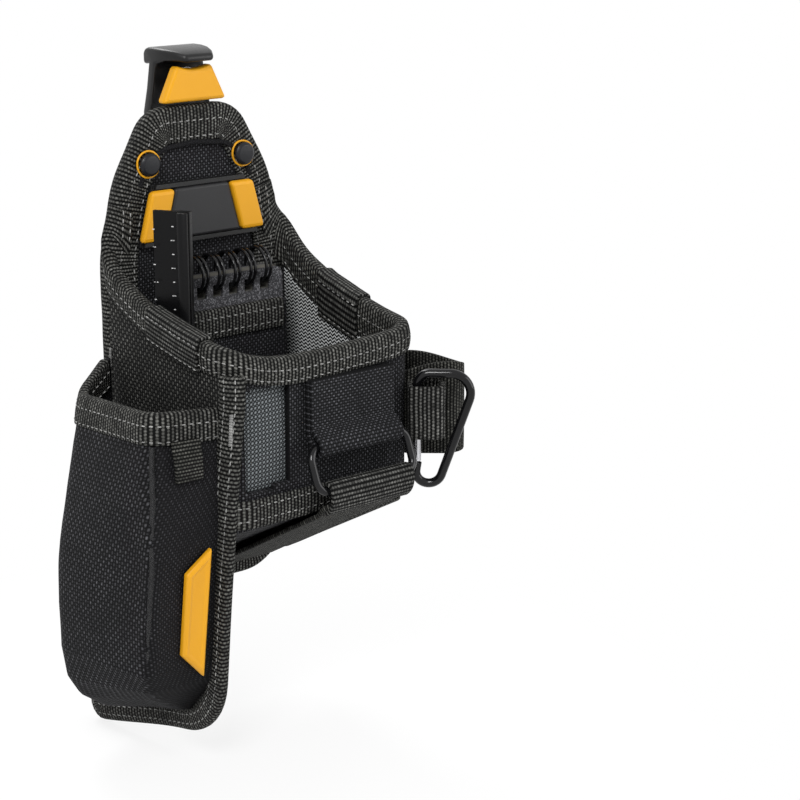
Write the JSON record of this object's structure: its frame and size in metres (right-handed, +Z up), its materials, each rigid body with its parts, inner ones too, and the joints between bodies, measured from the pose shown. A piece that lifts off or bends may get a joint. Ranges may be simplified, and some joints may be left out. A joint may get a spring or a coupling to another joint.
{
  "type": "electrician tool pouch",
  "caption": "Clip-on fabric tool pouch with a deep main pocket, a side tool pocket, a wire ring strap, a carabiner, a notebook and a pocket rule.",
  "frame": {"origin": "back face of the hub socket's top bar, midway between the rivets and at their height", "axes": "+Z up, +Y towards the wearer's belt, so the front faces -Y; +X to the viewer's right from the front"},
  "size_m": [0.1437, 0.1087, 0.2554],
  "materials": {
    "black_nylon": "woven ballistic nylon, matte",
    "edging_tape": "ribbed edging tape with light stitching",
    "black_webbing": "woven webbing, matte",
    "grey_mesh": "knitted mesh",
    "yellow_plastic": "moulded, satin",
    "black_plastic": "moulded, satin",
    "grey_plastic": "moulded, satin",
    "black_steel": "gloss black coated",
    "bright_steel": "bright",
    "grey_card": "speckled cover board",
    "paper": "paper, matte"
  },
  "bodies": {
    "pouch": {"back_panel": "black_nylon", "front_wall": "black_nylon", "right_wall": "black_nylon", "pocket_floor": "black_nylon", "left_wall": "black_nylon", "tool_pocket_face": "black_nylon", "tool_pocket_rear_side": "black_nylon", "tool_pocket_front_side": "black_nylon", "inner_pocket": "black_nylon", "inner_pocket_base": "black_nylon", "back_panel_binding": "edging_tape", "front_wall_binding": "edging_tape", "rim_binding": "edging_tape", "left_wall_binding": "edging_tape", "tool_pocket_binding": "edging_tape", "inner_pocket_binding": "edging_tape", "rim_patch_left": "black_webbing", "rim_patch_right": "black_webbing", "tool_pocket_tab": "black_webbing", "hammer_loop_upper": "black_webbing", "hammer_loop_lower": "black_webbing", "side_loop": "black_webbing", "carabiner_loop": "black_webbing", "mesh_window": "grey_mesh", "right_wall_lining": "grey_mesh", "rivet_ring_left": "yellow_plastic", "rivet_ring_right": "yellow_plastic", "badge_end_left": "yellow_plastic", "badge_end_right": "yellow_plastic", "edge_tag": "yellow_plastic", "clip_plate": "black_plastic", "hub_socket": "black_plastic", "rivet_left": "black_plastic", "rivet_right": "black_plastic", "badge_base": "black_plastic", "badge_centre": "grey_plastic", "rivet_back_left": "black_steel", "rivet_back_right": "black_steel", "button_spring": "bright_steel"},
    "release_button": {"release_button": "yellow_plastic", "button_plunger": "black_plastic"},
    "notebook": {"notebook_front_cover": "grey_card", "notebook_pages": "paper", "notebook_back_cover": "grey_card", "notebook_wire": "black_steel"},
    "pocket_rule": {"pocket_rule": "black_plastic"},
    "strap_ring": {"hammer_ring": "black_steel", "hammer_loop_end": "black_webbing"},
    "carabiner": {"carabiner_body": "black_steel", "carabiner_gate_pin": "bright_steel"},
    "carabiner_gate": {"carabiner_gate": "bright_steel", "gate_spring": "bright_steel"}
  },
  "joints": [
    {"name": "button_press", "type": "slide", "parent": "pouch", "child": "release_button", "axis": [0, 1, 0], "range_m": [0, 0.002], "stiffness_N_per_m": 600, "deforming": ["button_spring"]},
    {"name": "notebook_lift", "type": "slide", "parent": "pouch", "child": "notebook", "axis": [0, 0, 1], "range_m": [0, 0.06]},
    {"name": "rule_lift", "type": "slide", "parent": "pouch", "child": "pocket_rule", "axis": [0, 0, 1], "range_m": [0, 0.08]},
    {"name": "ring_swing", "type": "hinge", "parent": "pouch", "child": "strap_ring", "pos_m": [0.0123, -0.09765, -0.092], "axis": [-1, 0, 0], "range_deg": [0, 25]},
    {"name": "carabiner_swing", "type": "hinge", "parent": "pouch", "child": "carabiner", "pos_m": [0.0434, -0.09414, -0.0929], "axis": [0, 0, 1], "range_deg": [-25, 10]},
    {"name": "gate_open", "type": "hinge", "parent": "carabiner", "child": "carabiner_gate", "pos_m": [0.0434, -0.09414, -0.1064], "axis": [0.6606, 0.7507, 0], "range_deg": [0, 13], "stiffness_Nm_per_rad": 0.05}
  ]
}
